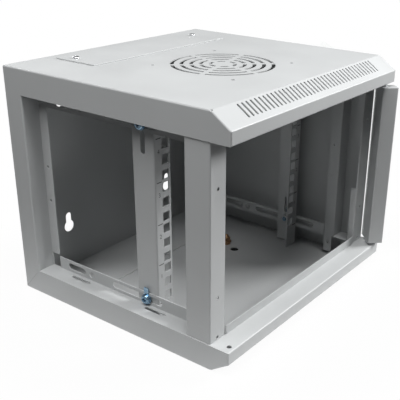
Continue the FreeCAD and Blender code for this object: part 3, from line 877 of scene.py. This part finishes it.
@dataclass
class RackRails:
    """The two rack rails with their bolts, clips and nuts and a printed unit scale."""

    finishes: Finishes
    edge: float = 0.25 * MM
    bolt: CrossScrew = CrossScrew(5.3 * MM, 3.3 * MM, 3.0 * MM, 10.2 * MM)
    nut: HexNut = HexNut(10.0 * MM, 4.5 * MM, 3.05 * MM)
    clip: ClipPlate = ClipPlate(6.0 * MM, 3.3 * MM, 1.2 * MM, 3.0 * MM, 13.0 * MM)
    washer: ClipPlate = ClipPlate(6.0 * MM, 3.3 * MM, 1.2 * MM, 0.0, 0.0)
    unit: float = 44.45 * MM
    units: int = 4
    scale_foot: float = 31.75 * MM
    scale_inset: float = 6.0 * MM
    tick: Span = (7.0 * MM, 0.9 * MM)
    digit: float = 6.5 * MM
    digit_drop: float = 13.5 * MM
    ink: float = 0.04 * MM

    def dress(self, side: str) -> None:
        """Paint one rail.

        Args:
            side: left or right.
        """
        dress(self.finishes.rail, f"{side}_rack_rail")
        soften(self.edge, f"{side}_rack_rail")

    def fasten(self, side: str, body: Body, outward: Axis) -> None:
        """Put the bolts, clips and nuts of one rail in.

        Args:
            side: left or right.
            body: Body of the rail.
            outward: Way that the bolt heads face.
        """
        bolts, clips, nuts = (f"{side}_rail_{kind}" for kind in ("bolts", "clips", "nuts"))
        low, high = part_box(bolts)
        sign = Vector(outward.value).x
        head_end = high[0] if sign > 0 else low[0]
        seat = head_end - sign * self.bolt.height
        depth = (low[1] + high[1]) / 2
        heights = (low[2] + self.bolt.head, high[2] - self.bolt.head)
        heads = [placed(outward, Vector((seat, depth, z))) for z in heights]
        mesh = repeated(self.bolt.mesh(), heads)
        made = piece(mesh, f"{side}_cross_bolts", body, [self.finishes.blue_zinc])
        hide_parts(bolts)
        under = min((end[0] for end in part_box(clips)), key=abs)
        upright = Matrix.Rotation(math.pi if sign > 0 else 0.0, 4, "Z")
        foot, top = (placed(outward, Vector((under, depth, z))) @ upright for z in heights)
        mesh = added(repeated(self.clip.mesh(), [foot]), repeated(self.washer.mesh(), [top]))
        made = piece(mesh, f"{side}_clip_plates", body, [self.finishes.blue_zinc])
        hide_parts(clips)
        inner = min((end[0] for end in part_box(nuts)), key=abs)
        seats = [placed(outward, Vector((inner, depth, z))) for z in heights]
        mesh = repeated(self.nut.mesh(), seats)
        made = piece(mesh, f"{side}_hex_nuts", body, [self.finishes.zinc])
        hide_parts(nuts)

    def print_scale(self, side: str, body: Body, outward: Axis) -> None:
        """Print unit lines and unit numbers beside the holes of one rail.

        Args:
            side: left or right.
            body: Body of the rail.
            outward: Side on which the margin lies.
        """
        low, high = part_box(f"{side}_rack_rail")
        sign = Vector(outward.value).x
        x = (high[0] if sign > 0 else low[0]) - sign * self.scale_inset
        long, thick = self.tick
        mesh = bmesh.new()
        for count in range(self.units + 1):
            line = Vector((x, low[1], self.scale_foot + count * self.unit))
            added(mesh, block((long, self.ink, thick), line))
            if count:
                number = lettered(str(count), self.digit, self.ink)
                line.z -= self.digit_drop
                bmesh.ops.translate(number, vec=line, verts=number.verts[:])
                added(mesh, number)
        piece(mesh, f"{side}_unit_scale", body, [self.finishes.ink])

    def build(self) -> None:
        """Dress both rails, fasten them and print their scales."""
        rails = (("left", Body.LEFT_RAIL, Axis.LEFT), ("right", Body.RIGHT_RAIL, Axis.RIGHT))
        for side, body, outward in rails:
            self.dress(side)
            self.fasten(side, body, outward)
            self.print_scale(side, body, outward)


@dataclass
class SidePanel:
    """The lift-off side panel and its lock."""

    finishes: Finishes
    edge: float = 0.25 * MM
    lock_edge: float = 0.35 * MM

    def build(self) -> None:
        """Paint the panel and plate the lock."""
        dress(self.finishes.cabinet, "right_side_panel")
        soften(self.edge, "right_side_panel")
        dress(self.finishes.nickel, "panel_lock_body", "panel_lock_plug")
        plated = ["panel_lock_nut", "panel_lock_cam", "panel_cam_nut"]
        dress(self.finishes.zinc, *plated)
        soften(self.lock_edge, "panel_lock_body", *plated)


@dataclass
class GlassDoor:
    """The glass door with its stile, pins and lock."""

    finishes: Finishes
    edge: float = 0.25 * MM
    lock_edge: float = 0.35 * MM
    spring_wire: float = 0.3 * MM
    spring_radius: float = 2.85 * MM
    spring_turns: float = 4.0
    spring_sides: int = 10
    spring_low: float = 204.7 * MM
    spring_high: float = 215.5 * MM
    spring_shut: float = 0.16
    pivot: Span = (146.0 * MM, -140.5 * MM)

    def dress(self) -> None:
        """Paint the stile, clear the glass and plate the hardware."""
        dress(self.finishes.cabinet, "hinge_stile")
        soften(self.edge, "hinge_stile")
        dress(self.finishes.glass, "door_glass")
        dress(self.finishes.rubber, "front_glass_gasket", "rear_glass_gasket")
        plated = ["glass_clamp_strip", "glass_clamp_nuts", "lower_hinge_pin", "upper_hinge_pin"]
        plated += ["door_lock_nut", "door_lock_cam", "door_cam_nut"]
        dress(self.finishes.zinc, *plated)
        soften(self.lock_edge, *plated)
        dress(self.finishes.nickel, "door_lock_body", "door_lock_plug")
        soften(self.lock_edge, "door_lock_body")

    def pin_spring(self) -> None:
        """Wind the spring that holds the upper hinge pin up."""
        wire = self.spring_wire
        ring = [math.tau * step / self.spring_sides for step in range(self.spring_sides)]
        outline = [(self.spring_radius + wire * math.cos(a), wire * math.sin(a)) for a in ring]
        pitch = (self.spring_high - self.spring_low - 2 * wire) / self.spring_turns
        mesh = wound(outline, pitch, self.spring_turns)
        foot = Vector((*self.pivot, self.spring_low + wire))
        bmesh.ops.translate(mesh, vec=foot, verts=mesh.verts[:])
        made = piece(mesh, "hinge_pin_spring", Body.DOOR, [self.finishes.zinc])
        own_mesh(made)

    def build(self) -> None:
        """Dress the door and add the spring."""
        self.dress()
        self.pin_spring()


@dataclass(frozen=True)
class SoftBox:
    """One square lamp of the studio."""

    name: str
    place: Vector
    size: float
    power: float


@dataclass
class Studio:
    """Camera, lamps, white surround and floor."""

    eye: Vector = Vector((-610.8, -483.8, 415.0)) * MM
    heading: float = math.radians(54.235)
    dip: float = math.radians(23.726)
    roll: float = math.radians(1.125)
    focal_pixels: float = 720.7
    centre_pixel: Span = (238.9, 218.9)
    frame_pixels: float = 400.0
    sensor: float = 36.0
    near: float = 0.01
    ambient: float = 0.0
    floor_half: float = 6.0
    floor_drop: float = 0.2 * MM
    paper: float = 0.9
    paper_rough: float = 0.9
    sheet: float = 0.2
    glow: float = 0.94
    sheen: float = 0.2
    footprint: Vector = Vector((125.0, 105.0, 0.0)) * MM
    target: Vector = Vector((0.0, 0.0, 120.0)) * MM
    lamps: tuple[SoftBox, ...] = (
        SoftBox("front_lamp", Vector((1.04, -0.94, 0.90)), 0.5, 27.0),
        SoftBox("left_lamp", Vector((-0.92, 0.02, 1.37)), 0.9, 14.0),
        SoftBox("high_lamp", Vector((-0.27, -0.47, 1.62)), 0.5, 13.0),
        SoftBox("rear_lamp", Vector((0.35, 1.50, 0.50)), 0.5, 12.0),
    )

    def camera(self) -> None:
        """Place the camera at the photograph's viewpoint."""
        data = bpy.data.cameras.new("camera")
        data.sensor_width = self.sensor
        data.lens = self.focal_pixels / self.frame_pixels * self.sensor
        half = self.frame_pixels / 2
        data.shift_x = (half - self.centre_pixel[0]) / self.frame_pixels
        data.shift_y = (self.centre_pixel[1] - half) / self.frame_pixels
        data.clip_start = self.near
        east, north = math.sin(self.heading), math.cos(self.heading)
        flat = math.cos(self.dip)
        ahead = Vector((east * flat, north * flat, -math.sin(self.dip)))
        level = Vector((north, -east, 0.0))
        upright = level.cross(ahead)
        right = math.cos(self.roll) * level + math.sin(self.roll) * upright
        up = math.cos(self.roll) * upright - math.sin(self.roll) * level
        matrix = Matrix((right, up, -ahead)).transposed().to_4x4()
        matrix.translation = self.eye
        holder = linked("camera", data)
        holder.matrix_world = matrix
        bpy.context.scene.camera = holder

    def hang(self, lamp: SoftBox) -> None:
        """Hang one lamp so that it faces the cabinet.

        Args:
            lamp: Lamp to hang.
        """
        data = bpy.data.lights.new(lamp.name, "AREA")
        data.size = lamp.size
        data.energy = lamp.power
        holder = linked(lamp.name, data)
        holder.location = lamp.place
        holder.rotation_euler = (self.target - lamp.place).to_track_quat("-Z", "Y").to_euler()

    def seen_directly(self, tree: bpy.types.NodeTree) -> Socket:
        """Mark the rays to which the surround looks white.

        Args:
            tree: Node tree that needs the mark.

        Returns:
            1 on straight rays, mirrored ones and those through glass, a share of it on the rays
            of a soft sheen, and 0 on others.
        """
        rays = tree.nodes.new("ShaderNodeLightPath").outputs
        total = computed(tree, "MULTIPLY", rays["Is Glossy Ray"], self.sheen)
        for name in ("Is Camera Ray", "Is Singular Ray", "Is Transmission Ray"):
            total = computed(tree, "MAXIMUM", total, rays[name])
        return total

    def surround(self) -> None:
        """White surround for the eye, which leaves the lighting to the lamps."""
        world = bpy.data.worlds.new("surround")
        world.use_nodes = True
        bpy.context.scene.world = world
        tree = world.node_tree
        light = tree.nodes["Background"]
        white = tree.nodes.new("ShaderNodeBackground")
        for part, strength in ((light, self.ambient), (white, 1.0)):
            part.inputs["Color"].default_value = WHITE
            part.inputs["Strength"].default_value = strength
        mix = tree.nodes.new("ShaderNodeMixShader")
        tree.links.new(self.seen_directly(tree), mix.inputs["Fac"])
        tree.links.new(light.outputs["Background"], mix.inputs[1])
        tree.links.new(white.outputs["Background"], mix.inputs[2])
        tree.links.new(mix.outputs["Shader"], tree.nodes["World Output"].inputs["Surface"])

    def distance(self, tree: bpy.types.NodeTree) -> Socket:
        """Measure how far the floor lies from the cabinet's footprint.

        Args:
            tree: Node tree of the floor.

        Returns:
            The distance in metres, negative under the cabinet.
        """
        place = tree.nodes.new("ShaderNodeTexCoord").outputs["Object"]
        size = tree.nodes.new("ShaderNodeVectorMath")
        size.operation = "ABSOLUTE"
        tree.links.new(place, size.inputs[0])
        past = tree.nodes.new("ShaderNodeVectorMath")
        past.operation = "SUBTRACT"
        past.inputs[1].default_value = self.footprint
        tree.links.new(size.outputs["Vector"], past.inputs[0])
        axes = tree.nodes.new("ShaderNodeSeparateXYZ")
        tree.links.new(past.outputs["Vector"], axes.inputs["Vector"])
        return computed(tree, "MAXIMUM", axes.outputs["X"], axes.outputs["Y"])

    def floor_paper(self) -> bpy.types.Material:
        """Make the floor's paper, white to the eye, pale to the light near the cabinet and painted
        black as shadow under it.

        Returns:
            The finished paper.
        """
        material = bpy.data.materials.new("floor_paper")
        material.use_nodes = True
        tree = material.node_tree
        paper = tree.nodes["Principled BSDF"]
        paper.inputs["Roughness"].default_value = self.paper_rough
        distance = self.distance(tree)
        reach = (0.0, self.sheet)
        # Painted shadow: under the cabinet's footprint the paper is black to the light and to the
        # eye.
        outside_painted_shadow = computed(tree, "GREATER_THAN", distance, 0.0)
        fade = ranged(tree, distance, reach, (self.paper, 0.0))
        tree.links.new(computed(tree, "MULTIPLY", outside_painted_shadow, fade), paper.inputs["Base Color"])
        glow = tree.nodes.new("ShaderNodeEmission")
        # Under the footprint the eye sees the black paper instead of the glow, as painted shadow.
        share = computed(tree, "MULTIPLY", self.seen_directly(tree), outside_painted_shadow)
        white = ranged(tree, distance, reach, (self.glow, 1.0))
        mix = tree.nodes.new("ShaderNodeMixShader")
        tree.links.new(computed(tree, "MULTIPLY", share, white), mix.inputs["Fac"])
        tree.links.new(paper.outputs["BSDF"], mix.inputs[1])
        tree.links.new(glow.outputs["Emission"], mix.inputs[2])
        tree.links.new(mix.outputs["Shader"], tree.nodes["Material Output"].inputs["Surface"])
        return material

    def floor(self) -> None:
        """Lay the pale floor, which keeps a soft shadow."""
        mesh = bmesh.new()
        bmesh.ops.create_grid(mesh, x_segments=1, y_segments=1, size=self.floor_half)
        data = bpy.data.meshes.new("floor")
        mesh.to_mesh(data)
        mesh.free()
        data.materials.append(self.floor_paper())
        holder = linked("floor", data)
        holder.location.z = -self.floor_drop

    def build(self) -> None:
        """Set up the whole studio."""
        self.camera()
        self.surround()
        self.floor()
        for lamp in self.lamps:
            self.hang(lamp)
        bpy.context.scene.view_settings.view_transform = "Standard"


def main() -> None:
    """Build and dress the cabinet, then light it."""
    logging.basicConfig(level=logging.INFO, format="%(name)s: %(message)s")
    finishes = Finishes()
    for part in (Carcass(finishes), RackRails(finishes), SidePanel(finishes), GlassDoor(finishes)):
        part.build()
    Studio().build()


if __name__ == "__main__":
    main()
